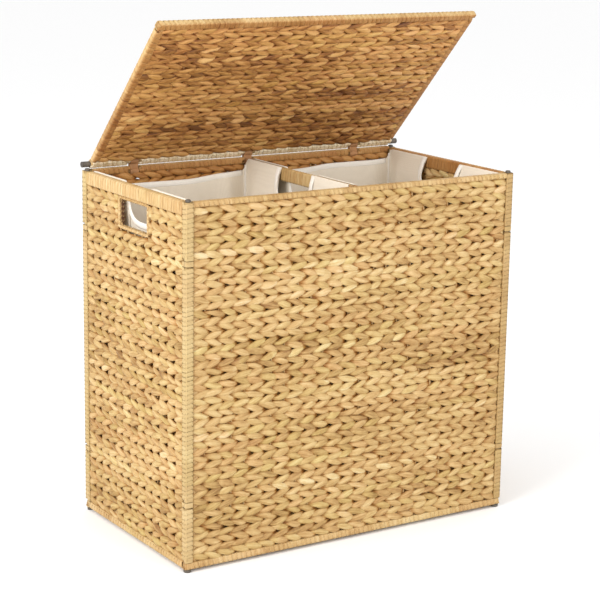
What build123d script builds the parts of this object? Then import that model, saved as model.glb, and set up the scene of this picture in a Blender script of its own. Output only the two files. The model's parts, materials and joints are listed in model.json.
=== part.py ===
from build123d import *

import os
from math import cos, floor, radians, sin
from typing import NamedTuple

# Lidded laundry hamper with two cloth bags. Woven panels stand on wire frames, pins join them at the
# corners, and the lid turns on its own rear rod. Millimetres, +Z up, -Y is the front, and the origin is
# on the floor under the middle of the hamper.

# Outside sizes
body_width = 650.0
body_depth = 365.0
rim_height = 610.0
panel_thickness = 14.0
base_thickness = 12.0
lid_thickness = 12.0
foot_height = 5.0

# Wire frames and the weave on them
rod_radius = 3.0
rod_bend_radius = 9.0
stake_radius = 1.6
stake_pitch = 25.0
weld_depth = 1.0
edge_wrap_width = 14.0
side_band_height = 23.0
edge_rounding = 4.0
wire_clearance = 0.1
seat_gap = 0.2

# Hand hole in the left side panel
hand_hole_width = 92.0
hand_hole_height = 41.0
hand_hole_rounding = 5.0
handle_rim_width = 7.0
handle_rim_depth = 10.0
hole_wire_radius = 1.4

# Corner pins, their feet and the eyes that they pass through
pin_radius = 2.5
pin_head_radius = 4.5
pin_head_rise = 4.0
pin_head_rounding = 1.8
foot_radius = 6.5
foot_floor = 2.0
foot_chamfer = 0.8
eye_wall = 3.3
eye_height = 5.0
eye_inset = 93.0
arm_thickness = 4.0

# Bar between the two bags
crossbar_width = 10.0
crossbar_band_height = 23.0
bracket_depth = 8.0
bracket_wall = 3.0

# Cloth bags
liner_cloth = 1.5
liner_gap = 1.0
liner_drop = 20.0
liner_notch_width = 100.0
liner_notch_depth = 64.0
liner_notch_rounding = 26.0
liner_flange_inset = 8.0

# Lid and hinge
lid_rest_angle = 46.0
lid_side_inset = 11.0
lid_over_pins = 1.0
lid_rear_wrap = 9.0
hinge_rod_radius = 3.5
hinge_clearance = 0.08
loop_width = 16.0
loop_wall = 2.7
loop_web = 7.0
loop_end_gap = 1.0
loop_spread = 230.0
rod_end_proud = 3.0
cap_radius = 5.0
cap_wall = 1.5
cap_rounding = 1.2

# Places that follow from the sizes above
wall_bottom = foot_height + base_thickness + seat_gap
pin_x = body_width / 2 - panel_thickness / 2
pin_y = body_depth / 2 - panel_thickness / 2
rod_inset = edge_wrap_width / 2
eye_radius = pin_radius + wire_clearance + eye_wall
hinge_y = body_depth / 2 - panel_thickness / 2
hinge_z = rim_height + pin_head_rise + lid_over_pins + lid_thickness / 2
lid_length = hinge_y + body_depth / 2
lid_width = body_width - 2 * lid_side_inset
loop_radius = hinge_rod_radius + loop_wall
loop_spots = (-loop_spread, 0.0, loop_spread)
hole_top = rim_height - side_band_height - handle_rim_width
hole_middle = hole_top - hand_hole_height / 2
rimmed_hole_width = hand_hole_width + 2 * handle_rim_width
rimmed_hole_height = hand_hole_height + 2 * handle_rim_width

os.makedirs("parts", exist_ok=True)


class Wall(NamedTuple):
    """One upright panel: its name, its middle plane seen from outside, and what sets it apart."""

    name: str
    plane: Plane
    width: float
    top_wrap: float
    eye_offset: float
    has_hole: bool
    has_loops: bool


def make_wall(name, out, right, to_middle, width, top_wrap, eye_offset, has_hole, has_loops):
    """A wall whose plane faces out, with its middle at the given distance from the hamper's middle."""
    middle = Vector(*out) * to_middle
    plane = Plane(origin=middle, x_dir=right, z_dir=out)
    return Wall(name, plane, width, top_wrap, eye_offset, has_hole, has_loops)


long_width = body_width - 2 * panel_thickness
short_width = body_depth - 2 * panel_thickness
inner_eye = eye_height + seat_gap
walls = (
    make_wall("front", (0, -1, 0), (1, 0, 0), pin_y, long_width, edge_wrap_width, inner_eye, False, False),
    make_wall("back", (0, 1, 0), (-1, 0, 0), pin_y, long_width, edge_wrap_width, inner_eye, False, True),
    make_wall("left", (-1, 0, 0), (0, -1, 0), pin_x, short_width, side_band_height, 0.0, True, False),
    make_wall("right", (1, 0, 0), (0, 1, 0), pin_x, short_width, side_band_height, 0.0, False, False),
)


def bar_across(start, end, height, radius, mode=Mode.ADD):
    """A round bar along the width of the panel in hand."""
    with Locations(((start + end) / 2, height, 0)):
        Cylinder(radius, end - start, rotation=(0, 90, 0), mode=mode)


def bars_up(places, start, end, radius, mode=Mode.ADD):
    """Round bars along the height of the panel in hand, one at each place across it."""
    if places:
        with Locations(*[(place, (start + end) / 2, 0) for place in places]):
            Cylinder(radius, end - start, rotation=(90, 0, 0), mode=mode)


def bent_rod(plane, half_width, low, high, bend, radius, mode=Mode.ADD):
    """A round rod bent into a closed rectangle with rounded corners, in a panel's plane."""
    start = Plane(origin=plane.from_local_coords((0, low, 0)), x_dir=plane.z_dir, z_dir=plane.x_dir)
    corners = ((half_width, low), (half_width, high), (-half_width, high), (-half_width, low))
    with BuildLine(plane) as path:
        FilletPolyline((0, low), *corners, (0, low), radius=[0] + [bend] * len(corners))
    with BuildSketch(start) as section:
        Circle(radius)
    sweep(section.sketch, path=path.line, mode=mode)


def stake_places(width):
    """Where the stakes stand across a panel, evenly about its middle, clear of its end rods."""
    count = floor((width - 2 * edge_wrap_width) / stake_pitch) + 1
    return [(index - (count - 1) / 2) * stake_pitch for index in range(count)]


def beside_loops(place):
    """Whether a stake at this place across the hamper is clear of every hinge loop."""
    reach = loop_width / 2 + loop_end_gap + stake_radius
    return all(abs(place - spot) > reach for spot in loop_spots)


def eye_levels(wall):
    """Heights of a wall's upper and lower eyes, at their middles."""
    upper = rim_height - eye_inset - eye_height / 2 - wall.eye_offset
    lower = wall_bottom + eye_inset + eye_height / 2 + wall.eye_offset
    return upper, lower


def wall_wires(wall, slack=0.0, mode=Mode.ADD):
    """The rods, stakes and eyes of a wall, each thicker all round by the slack."""
    stake = stake_radius + slack
    top = rim_height - rod_inset
    bottom = wall_bottom + rod_inset
    end = wall.width / 2 - rod_inset
    bent_rod(wall.plane, end, bottom, top, rod_bend_radius, rod_radius + slack, mode)

    foot = bottom - weld_depth
    head = top + weld_depth
    places = stake_places(wall.width)
    if wall.has_hole:
        half_hole = rimmed_hole_width / 2 + stake_radius
        wire_side = (hand_hole_width + handle_rim_width) / 2
        wire_low = hole_middle - (hand_hole_height + handle_rim_width) / 2
        wire_high = hole_middle + (hand_hole_height + handle_rim_width) / 2
        bars_up([place for place in places if abs(place) > half_hole], foot, head, stake, mode)
        bars_up([place for place in places if abs(place) <= half_hole], foot, wire_low + weld_depth, stake, mode)
        bent_rod(wall.plane, wire_side, wire_low, wire_high, handle_rim_width, hole_wire_radius + slack, mode)
    elif wall.has_loops:
        below_loops = rim_height - wall.top_wrap
        bars_up([place for place in places if beside_loops(place)], foot, head, stake, mode)
        bars_up([place for place in places if not beside_loops(place)], foot, below_loops, stake, mode)
    else:
        bars_up(places, foot, head, stake, mode)

    reach = wall.width / 2 + panel_thickness / 2
    arm_spots = [(side * (end + reach) / 2, level, 0) for side in (-1, 1) for level in eye_levels(wall)]
    with Locations(*arm_spots):
        Box(reach - end, eye_height + 2 * slack, arm_thickness + 2 * slack, mode=mode)
    eye_spots = [(side * reach, level, 0) for side in (-1, 1) for level in eye_levels(wall)]
    with Locations(*eye_spots):
        Cylinder(eye_radius + slack, eye_height + 2 * slack, rotation=(90, 0, 0), mode=mode)
        if mode == Mode.ADD:
            Cylinder(pin_radius + wire_clearance, eye_height, rotation=(90, 0, 0), mode=Mode.SUBTRACT)


def build_wall_frame(wall):
    """The welded wire frame inside a wall."""
    with BuildPart(wall.plane) as frame:
        wall_wires(wall)
    frame.part.label = f"{wall.name}_frame"
    export_step(frame.part, f"parts/{wall.name}_frame.step")


def build_wall_weave(wall):
    """The woven field of a wall, as one slab with a bore for each wire, and its hand hole if it has one."""
    field_top = rim_height - wall.top_wrap
    with BuildPart(wall.plane) as weave:
        with Locations((0, (wall_bottom + field_top) / 2, 0)):
            Box(wall.width - 2 * edge_wrap_width, field_top - wall_bottom, panel_thickness)
        if wall.has_hole:
            with Locations((0, hole_middle, 0)):
                Box(rimmed_hole_width, rimmed_hole_height, panel_thickness, mode=Mode.SUBTRACT)
        wall_wires(wall, wire_clearance, Mode.SUBTRACT)
    weave.part.label = f"{wall.name}_weave"
    export_step(weave.part, f"parts/{wall.name}_weave.step")


def build_wall_wraps(wall):
    """The wound edges of a wall: its top rail and its two ends."""
    field_top = rim_height - wall.top_wrap
    end_middle = wall.width / 2 - edge_wrap_width / 2
    section = Plane(origin=wall.plane.origin, x_dir=-wall.plane.z_dir, z_dir=wall.plane.x_dir)
    with BuildPart(wall.plane) as wraps:
        with BuildSketch(section) as rail:
            with Locations((0, rim_height - wall.top_wrap / 2)):
                Rectangle(panel_thickness, wall.top_wrap)
            fillet(rail.vertices().group_by(Axis.Y)[-1], edge_rounding)
        extrude(amount=wall.width / 2, both=True)
        end_length = field_top - seat_gap - wall_bottom
        with Locations(*[(side * end_middle, wall_bottom + end_length / 2, 0) for side in (-1, 1)]):
            Box(edge_wrap_width, end_length, panel_thickness)
        wall_wires(wall, wire_clearance, Mode.SUBTRACT)
        if wall.has_loops:
            with Locations(*[(spot, rim_height - wall.top_wrap / 2, 0) for spot in loop_spots]):
                Box(
                    loop_width + 2 * loop_end_gap,
                    wall.top_wrap + 2 * loop_end_gap,
                    panel_thickness + 2 * loop_end_gap,
                    mode=Mode.SUBTRACT,
                )
    wraps.part.label = f"{wall.name}_edge_wraps"
    export_step(wraps.part, f"parts/{wall.name}_edge_wraps.step")


def build_handle_rim(wall):
    """The wound rim of a hand hole."""
    with BuildPart(wall.plane) as rim:
        with BuildSketch(wall.plane):
            with Locations((0, hole_middle)):
                Rectangle(rimmed_hole_width, rimmed_hole_height)
                RectangleRounded(hand_hole_width, hand_hole_height, hand_hole_rounding, mode=Mode.SUBTRACT)
        extrude(amount=handle_rim_depth / 2, both=True)
        wall_wires(wall, wire_clearance, Mode.SUBTRACT)
    rim.part.label = f"{wall.name}_handle_rim"
    export_step(rim.part, f"parts/{wall.name}_handle_rim.step")


def build_corner(name, x, y):
    """A corner pin with its bead, and the three wound sleeves that it passes through between the eyes."""
    with BuildPart() as pin:
        with Locations((x, y, foot_floor + seat_gap)):
            Cylinder(
                pin_radius,
                rim_height - foot_floor - seat_gap,
                align=(Align.CENTER, Align.CENTER, Align.MIN),
            )
        with Locations((x, y, rim_height)):
            Cylinder(pin_head_radius, pin_head_rise, align=(Align.CENTER, Align.CENTER, Align.MIN))
        fillet(pin.edges().group_by(Axis.Z)[-1], pin_head_rounding)
    pin.part.label = f"{name}_pin"
    export_step(pin.part, f"parts/{name}_pin.step")

    side_upper, side_lower = eye_levels(walls[2])
    long_upper, long_lower = eye_levels(walls[0])
    half_eye = eye_height / 2 + seat_gap
    spans = (
        (wall_bottom, side_lower - half_eye),
        (long_lower + half_eye, long_upper - half_eye),
        (side_upper + half_eye, rim_height),
    )
    with BuildPart() as sleeves:
        for low, high in spans:
            with BuildSketch(Plane.XY.offset(low)) as column:
                with Locations((x, y)):
                    Rectangle(panel_thickness, panel_thickness)
                outer = column.vertices().sort_by(lambda corner: abs(corner.X) + abs(corner.Y))[-1]
                fillet(outer, edge_rounding)
                with Locations((x, y)):
                    Circle(pin_radius + wire_clearance, mode=Mode.SUBTRACT)
            extrude(amount=high - low)
    sleeves.part.label = f"{name}_sleeves"
    export_step(sleeves.part, f"parts/{name}_sleeves.step")


for wall in walls:
    build_wall_frame(wall)
    build_wall_weave(wall)
    build_wall_wraps(wall)
    if wall.has_hole:
        build_handle_rim(wall)

for depth_name, depth_side in (("front", -1), ("back", 1)):
    for width_name, width_side in (("left", -1), ("right", 1)):
        build_corner(f"{depth_name}_{width_name}", width_side * pin_x, depth_side * pin_y)

corner_spots = GridLocations(2 * pin_x, 2 * pin_y, 2, 2)

# Feet, pushed onto the lower ends of the pins
with BuildPart() as feet:
    with corner_spots:
        Cylinder(foot_radius, foot_height, align=(Align.CENTER, Align.CENTER, Align.MIN))
    chamfer(feet.edges().group_by(Axis.Z)[0], foot_chamfer)
    with BuildSketch(Plane.XY.offset(foot_floor)):
        with corner_spots:
            Circle(pin_radius + wire_clearance)
    extrude(amount=foot_height - foot_floor, mode=Mode.SUBTRACT)
feet.part.label = "feet"
export_step(feet.part, "parts/feet.step")

# Base panel, threaded on the pins under the walls
base_plane = Plane.XY.offset(foot_height + base_thickness / 2)
base_side_length = body_depth - 2 * edge_wrap_width


def base_wires(slack=0.0, mode=Mode.ADD):
    """The rods, stakes and corner eyes of the base, each thicker all round by the slack."""
    rod = rod_radius + slack
    for side in (-1, 1):
        bar_across(-pin_x, pin_x, side * pin_y, rod, mode)
    bars_up([-pin_x, pin_x], -pin_y, pin_y, rod, mode)
    weld = pin_y + weld_depth
    bars_up(stake_places(body_width), -weld, weld, stake_radius + slack, mode)
    with corner_spots:
        Cylinder(eye_radius + slack, eye_height + 2 * slack, mode=mode)
        Cylinder(pin_radius + wire_clearance, base_thickness, mode=Mode.SUBTRACT)


with BuildPart(base_plane) as base_frame:
    base_wires()
base_frame.part.label = "base_frame"
export_step(base_frame.part, "parts/base_frame.step")

with BuildPart(base_plane) as base_weave:
    Box(body_width - 2 * edge_wrap_width, base_side_length, base_thickness)
    base_wires(wire_clearance, Mode.SUBTRACT)
base_weave.part.label = "base_weave"
export_step(base_weave.part, "parts/base_weave.step")

with BuildPart(base_plane) as base_edge_wraps:
    with GridLocations(1, body_depth - edge_wrap_width, 1, 2):
        Box(body_width, edge_wrap_width, base_thickness)
    fillet(
        base_edge_wraps.edges().filter_by(Axis.Z).filter_by(lambda edge: abs(edge.center().Y) > pin_y),
        edge_rounding,
    )
    with GridLocations(body_width - edge_wrap_width, 1, 2, 1):
        Box(edge_wrap_width, base_side_length - 2 * seat_gap, base_thickness)
    base_wires(wire_clearance, Mode.SUBTRACT)
base_edge_wraps.part.label = "base_edge_wraps"
export_step(base_edge_wraps.part, "parts/base_edge_wraps.step")

# Bar between the bags, lying in a bracket on the front rail and one on the back rail
crossbar_z = rim_height - rod_inset
inner_depth = body_depth - 2 * panel_thickness
bracket_width = 2 * (rod_radius + wire_clearance + bracket_wall)
bracket_reach = inner_depth / 2 - bracket_depth / 2

with BuildPart() as crossbar_rod:
    with Locations((0, 0, crossbar_z)):
        Cylinder(rod_radius, inner_depth - 2 * seat_gap, rotation=(90, 0, 0))
crossbar_rod.part.label = "crossbar_rod"
export_step(crossbar_rod.part, "parts/crossbar_rod.step")

with BuildPart() as crossbar_wrap:
    with BuildSketch(Plane.XZ) as band:
        with Locations((0, rim_height - crossbar_band_height / 2)):
            Rectangle(crossbar_width, crossbar_band_height)
        fillet(band.vertices(), edge_rounding)
        with Locations((0, crossbar_z)):
            Circle(rod_radius + wire_clearance, mode=Mode.SUBTRACT)
    extrude(amount=inner_depth / 2 - bracket_depth - seat_gap, both=True)
crossbar_wrap.part.label = "crossbar_wrap"
export_step(crossbar_wrap.part, "parts/crossbar_wrap.step")

with BuildPart() as crossbar_brackets:
    with Locations((0, -bracket_reach, crossbar_z), (0, bracket_reach, crossbar_z)):
        Box(bracket_width, bracket_depth, edge_wrap_width)
        Cylinder(rod_radius + wire_clearance, bracket_depth, rotation=(90, 0, 0), mode=Mode.SUBTRACT)
    slot_height = rim_height - crossbar_z
    with Locations(*[(0, side * bracket_reach, crossbar_z + slot_height / 2) for side in (-1, 1)]):
        Box(2 * (rod_radius + wire_clearance), bracket_depth, slot_height, mode=Mode.SUBTRACT)
crossbar_brackets.part.label = "crossbar_brackets"
export_step(crossbar_brackets.part, "parts/crossbar_brackets.step")


def build_liner(name, side):
    """A cloth bag: four walls and a floor, with a notched short wall at each end that hangs over its rail."""
    near = crossbar_width / 2 + liner_gap
    far = body_width / 2 - panel_thickness - liner_gap
    length = far - near
    width = inner_depth - 2 * liner_gap
    floor_z = wall_bottom + seat_gap
    top_z = rim_height - liner_drop
    ear_end = inner_depth / 2 - bracket_depth - 2 * liner_gap
    ear_start = liner_notch_width / 2
    flange_z = rim_height + seat_gap
    inner_flange = near - liner_gap / 2
    outer_flange = body_width / 2 - liner_flange_inset - far
    middle = side * (near + far) / 2
    with BuildPart() as liner:
        with Locations((middle, 0, (floor_z + top_z) / 2)):
            Box(length, width, top_z - floor_z)
        with Locations((middle, 0, (floor_z + liner_cloth + top_z) / 2)):
            Box(length - 2 * liner_cloth, width - 2 * liner_cloth, top_z - floor_z - liner_cloth, mode=Mode.SUBTRACT)
        for ear_side in (-1, 1):
            ear_y = ear_side * (ear_start + ear_end) / 2
            ear_z = (top_z + flange_z + liner_cloth) / 2
            with Locations(
                (side * (near + liner_cloth / 2), ear_y, ear_z),
                (side * (far - liner_cloth / 2), ear_y, ear_z),
            ):
                Box(liner_cloth, ear_end - ear_start, flange_z + liner_cloth - top_z)
            with Locations((side * (near - inner_flange / 2), ear_y, flange_z + liner_cloth / 2)):
                Box(inner_flange, ear_end - ear_start, liner_cloth)
            with Locations((side * (far + outer_flange / 2), ear_y, flange_z + liner_cloth / 2)):
                Box(outer_flange, ear_end - ear_start, liner_cloth)
        with BuildSketch(Plane.YZ):
            with Locations((0, rim_height)):
                RectangleRounded(liner_notch_width, 2 * liner_notch_depth, liner_notch_rounding)
        extrude(amount=body_width, both=True, mode=Mode.SUBTRACT)
    liner.part.label = f"{name}_liner"
    export_step(liner.part, f"parts/{name}_liner.step")


build_liner("left", -1)
build_liner("right", 1)

# Hinge loops, which hold the lid's rear rod above the top rod of the back wall
back_rod_z = rim_height - rod_inset

with BuildPart() as hinge_loops:
    with Locations(*[(spot, hinge_y, level) for spot in loop_spots for level in (back_rod_z, hinge_z)]):
        Cylinder(loop_radius, loop_width, rotation=(0, 90, 0))
    with Locations(*[(spot, hinge_y, (back_rod_z + hinge_z) / 2) for spot in loop_spots]):
        Box(loop_width, loop_web, hinge_z - back_rod_z)
    with Locations(*[(spot, hinge_y, back_rod_z) for spot in loop_spots]):
        Cylinder(rod_radius + wire_clearance, loop_width, rotation=(0, 90, 0), mode=Mode.SUBTRACT)
    with Locations(*[(spot, hinge_y, hinge_z) for spot in loop_spots]):
        Cylinder(hinge_rod_radius + hinge_clearance, loop_width, rotation=(0, 90, 0), mode=Mode.SUBTRACT)
hinge_loops.part.label = "hinge_loops"
export_step(hinge_loops.part, "parts/hinge_loops.step")

# Lid, drawn from its rear rod towards its front edge, and raised by its rest angle
lid_rise = radians(lid_rest_angle)
lid_plane = Plane(origin=(0, hinge_y, hinge_z), x_dir=(-1, 0, 0), z_dir=(0, sin(lid_rise), cos(lid_rise)))
lid_section = Plane(origin=lid_plane.origin, x_dir=lid_plane.y_dir, z_dir=lid_plane.x_dir)
lid_front_rod = lid_length - rod_inset
lid_side_rod = lid_width / 2 - rod_inset
lid_field_end = lid_length - edge_wrap_width
lid_field_middle = (lid_rear_wrap + lid_field_end) / 2
lid_rod_end = body_width / 2 + rod_end_proud


def lid_wires(slack=0.0, mode=Mode.ADD):
    """The rods and stakes of the lid, each thicker all round by the slack."""
    stake = stake_radius + slack
    bar_across(-lid_rod_end, lid_rod_end, 0, hinge_rod_radius + slack, mode)
    left_end = Plane(
        origin=lid_plane.from_local_coords((-lid_side_rod, -weld_depth, 0)),
        x_dir=lid_plane.z_dir,
        z_dir=lid_plane.y_dir,
    )
    with BuildLine(lid_plane) as path:
        FilletPolyline(
            (-lid_side_rod, -weld_depth),
            (-lid_side_rod, lid_front_rod),
            (lid_side_rod, lid_front_rod),
            (lid_side_rod, -weld_depth),
            radius=rod_bend_radius,
        )
    with BuildSketch(left_end) as section:
        Circle(rod_radius + slack)
    sweep(section.sketch, path=path.line, mode=mode)
    places = stake_places(lid_width)
    front = lid_front_rod + weld_depth
    bars_up([place for place in places if beside_loops(place)], -weld_depth, front, stake, mode)
    bars_up([place for place in places if not beside_loops(place)], lid_rear_wrap, front, stake, mode)


with BuildPart(lid_plane) as lid_frame:
    lid_wires()
lid_frame.part.label = "lid_frame"
export_step(lid_frame.part, "parts/lid_frame.step")

with BuildPart(lid_plane) as lid_weave:
    with Locations((0, lid_field_middle, 0)):
        Box(lid_width - 2 * edge_wrap_width, lid_field_end - lid_rear_wrap, lid_thickness)
    lid_wires(wire_clearance, Mode.SUBTRACT)
lid_weave.part.label = "lid_weave"
export_step(lid_weave.part, "parts/lid_weave.step")

with BuildPart(lid_plane) as lid_edge_wraps:
    with BuildSketch(lid_section):
        Circle(lid_thickness / 2)
        with Locations((lid_rear_wrap / 2, 0)):
            Rectangle(lid_rear_wrap, lid_thickness)
        with Locations((lid_length - lid_thickness / 2, 0)):
            Circle(lid_thickness / 2)
        front_flat = edge_wrap_width - lid_thickness / 2
        with Locations((lid_field_end + front_flat / 2, 0)):
            Rectangle(front_flat, lid_thickness)
    extrude(amount=lid_width / 2, both=True)
    with Locations(*[(side * lid_side_rod, lid_field_middle, 0) for side in (-1, 1)]):
        Box(edge_wrap_width, lid_field_end - lid_rear_wrap - 2 * seat_gap, lid_thickness)
    lid_wires(wire_clearance, Mode.SUBTRACT)
    loop_gap_middle = (lid_rear_wrap - lid_thickness / 2) / 2
    with Locations(*[(spot, loop_gap_middle, 0) for spot in loop_spots]):
        Box(
            loop_width + 2 * loop_end_gap,
            lid_rear_wrap + lid_thickness / 2 + 2 * loop_end_gap,
            lid_thickness + 2 * loop_end_gap,
            mode=Mode.SUBTRACT,
        )
lid_edge_wraps.part.label = "lid_edge_wraps"
export_step(lid_edge_wraps.part, "parts/lid_edge_wraps.step")

# Caps on the two ends of the lid's rear rod, which stands out past the lid's sides
cap_length = lid_rod_end + cap_wall - lid_width / 2
cap_middle = lid_width / 2 + cap_length / 2

with BuildPart(lid_plane) as hinge_caps:
    with Locations(*[(side * cap_middle, 0, 0) for side in (-1, 1)]):
        Cylinder(cap_radius, cap_length, rotation=(0, 90, 0))
    end_edges = hinge_caps.edges().filter_by(lambda edge: abs(edge.center().X) > cap_middle)
    fillet(end_edges.filter_by(GeomType.CIRCLE), cap_rounding)
    bar_across(-lid_rod_end, lid_rod_end, 0, hinge_rod_radius + wire_clearance, Mode.SUBTRACT)
hinge_caps.part.label = "hinge_caps"
export_step(hinge_caps.part, "parts/hinge_caps.step")
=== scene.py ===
import json
import math
from typing import NamedTuple

import bmesh
import bpy
import numpy as np
from mathutils import Euler, Matrix, Vector


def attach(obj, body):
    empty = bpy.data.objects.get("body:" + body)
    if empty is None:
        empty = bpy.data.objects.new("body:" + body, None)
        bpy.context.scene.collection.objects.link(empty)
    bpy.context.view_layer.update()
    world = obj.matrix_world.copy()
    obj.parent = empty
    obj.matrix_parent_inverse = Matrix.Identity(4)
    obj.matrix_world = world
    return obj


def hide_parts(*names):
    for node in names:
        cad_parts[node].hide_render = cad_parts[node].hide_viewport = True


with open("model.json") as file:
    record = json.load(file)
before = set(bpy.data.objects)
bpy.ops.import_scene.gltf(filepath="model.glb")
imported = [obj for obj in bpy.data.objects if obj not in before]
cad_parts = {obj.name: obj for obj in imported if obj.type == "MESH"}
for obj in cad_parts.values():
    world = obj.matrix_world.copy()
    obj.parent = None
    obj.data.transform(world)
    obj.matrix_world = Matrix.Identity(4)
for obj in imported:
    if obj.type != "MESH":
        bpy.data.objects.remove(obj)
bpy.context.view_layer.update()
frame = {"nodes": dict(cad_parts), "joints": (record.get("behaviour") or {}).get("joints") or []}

# Sizes in metres
MM = 0.001
tolerance = MM / 10
same_point = 0.001 * MM

# Twined field: two strands in each row pass behind and before every stake
stake_pitch = 26 * MM
row_height = 12 * MM
strand_swing = 2.7 * MM
strand_half_depth = 2.5 * MM
float_half_width = 6.4 * MM
crossing_half_width = 5.0 * MM
crossing_half_depth = 5.0 * MM
float_flatness = 0.8
strand_roundness = 0.75
field_skin = 0.2 * MM
row_wander = 1.0 * MM
row_tuck = 5 * MM
row_dip = 8 * MM
row_end_gap = 0.4 * MM
row_end_depth = 0.45
float_roll = 0.22
phase_wander = 0.28
depth_wander = 0.08
width_wander = 0.11
leaf_shortest = 140 * MM
leaf_longest = 420 * MM
grain_length = 5
tone_spread = 0.09
lid_tone_spread = 0.16
tone_wander = 0.05
hue_spread = 0.16
patch_size = 150 * MM
patch_depth = 0.24
# Painted shade in a field's recesses, by depth from the middle of the field
recess_reach = (0.1, 0.85)
# Painted shade on a field's inner face, by depth below the middle of the field
inside_reach = (-0.3, 0.5)

# Wound edges: a flat strip turned round and round its wire, or at the rows' ends the rows' own strands
rail_pitch = 9 * MM
long_rail_height = 9 * MM
back_rail_rise = 2.5 * MM
sleeve_pitch = 7.5 * MM
sleeve_strip_depth = 0.7 * MM
sleeve_break_gap = 1.2 * MM
rim_pitch = 8 * MM
strip_depth = 1.8 * MM
strip_overlap = 1.14
strip_tilt = 0.05
strip_roundness = 0.8
strip_sides = 8
strip_width_wander = (60 * MM, 0.06)
strip_tone_wander = (50 * MM, 0.04)
strip_tone_spread = 0.07
strip_hue_spread = 0.08
rim_tone = 0.45
rim_tone_spread = 0.08
rim_hue_spread = 0.12
# Painted shade on a hand hole's jambs: by how far the rim's turn faces into the hole, and how deep it lies
jamb_turn = (0.4, 0.8)
jamb_depth = (0.4, -0.05)
edge_squareness = 6.0
wrap_depth = 4.0 * MM
wrap_squareness = 3.5
wrap_spread = 1.0 * MM
end_wrap_sink = 3.0 * MM
sleeve_squareness = 12.0
winding_steps = 16
core_inset = 1.0 * MM

# Cloth bags
cloth_depth = 1.1 * MM
bag_corner = 9 * MM
bag_foot_round = 12 * MM
bag_rows = 54
weld_gap = 0.02 * MM
bag_wrinkle = 7 * MM
bag_folds = ((1.0, 85 * MM, 240 * MM), (0.6, 36 * MM, 170 * MM), (0.3, 24 * MM, 40 * MM))
fold_drop = 120 * MM
end_slack = 0.8
side_slack = 0.6
corner_ease = (4 * MM, 45 * MM)
floor_rings = 14
floor_ripple = 2.5 * MM
floor_ripple_size = 60 * MM
hem_sag = 8 * MM
hem_wave = 90 * MM
hem_ease = 60 * MM
notch_squareness = 3.4
flap_rows = 6
flap_crown = 0.35 * MM
flap_reach = 4.5 * MM
tuck_reach = 2 * MM
flap_sink = 0.3 * MM
right_ear_drop = 3.5 * MM
inner_stand_off = 4 * MM
left_stand_off = 2 * MM
right_stand_off = 10 * MM
stand_off_drop = 40 * MM
binding_half_width = 5.5 * MM
binding_half_depth = 1.2 * MM
seam_half_width = 1.6 * MM
stitch_pitch = 4 * MM

# Marks on a leaf: how many to the metre and round it, their detail, and their shares of tone and relief
broad_streaks = (28, 4, 3.0)
fine_streaks = (40, 16, 2.0)
leaf_spots = (160, 5, 2.0)
broad_share = 0.9
fine_share = 0.8
spot_share = 0.3
broad_ridge = 0.6
fine_ridge = 0.5
# How closely the painted groove shade hugs a strand's side edges
groove_sharpness = 5.0

# Marks on cloth and on coated wire by the metre, and stitches by their share of face and pitch
stain_scale = 9.0
slub_scale = 420.0
thread_scale = 260.0
thread_share = 0.34
grain_share = 0.2
stitch_line = 0.22
stitch_share = 0.7
mottle_scale = 90.0
grain_scale = 700.0

# First seed of each kind of piece that is made in a loop
edge_seed = 10
sleeve_seed = 20
rim_seed = 40

# Camera, from the photograph's vanishing lines, in a frame of 600 by 600 pixels
frame_pixels = 600
focal_pixels = 1816.3
camera_place = (-1.6811, -2.6041, 1.0979)
camera_yaw = math.radians(32.93)
camera_pitch = math.radians(12.987)
camera_roll = math.radians(0.912)
sensor_width = 36.0


def unit(vectors):
    """Vectors scaled to length one, row by row."""
    return vectors / np.linalg.norm(vectors, axis=-1, keepdims=True)


def span(points, direction):
    """Lowest and highest place of points along a direction."""
    places = points @ direction
    return float(places.min()), float(places.max())


def new_object(name, data):
    """An object in the scene for this mesh, light or camera."""
    made = bpy.data.objects.new(name, data)
    bpy.context.scene.collection.objects.link(made)
    return made


def finish_piece(piece, body, slot, *nodes):
    """Says what a piece rides on, and hides the solids that it stands for; the finish that it is given is
    not used.
    """
    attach(piece, body)
    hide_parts(*nodes)


def way_along(points):
    """How far along a line of points each of them lies."""
    return np.append(0, np.cumsum(np.linalg.norm(np.diff(points, axis=0), axis=1)))


def node_points(node):
    """The corners of a CAD node, in the frame."""
    return np.array([vertex.co for vertex in frame["nodes"][node].data.vertices])


def solids_of(node):
    """The corners of each separate solid in a CAD node."""
    work = bmesh.new()
    work.from_mesh(frame["nodes"][node].data)
    bmesh.ops.remove_doubles(work, verts=work.verts, dist=same_point)
    left = set(work.verts)
    found = []
    while left:
        reached = [left.pop()]
        solid = []
        while reached:
            corner = reached.pop()
            solid.append(corner.co[:])
            for edge in corner.link_edges:
                other = edge.other_vert(corner)
                if other in left:
                    left.remove(other)
                    reached.append(other)
        found.append(np.array(solid))
    work.free()
    return sorted(found, key=lambda solid: tuple(solid.mean(0).round(4)))


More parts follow.
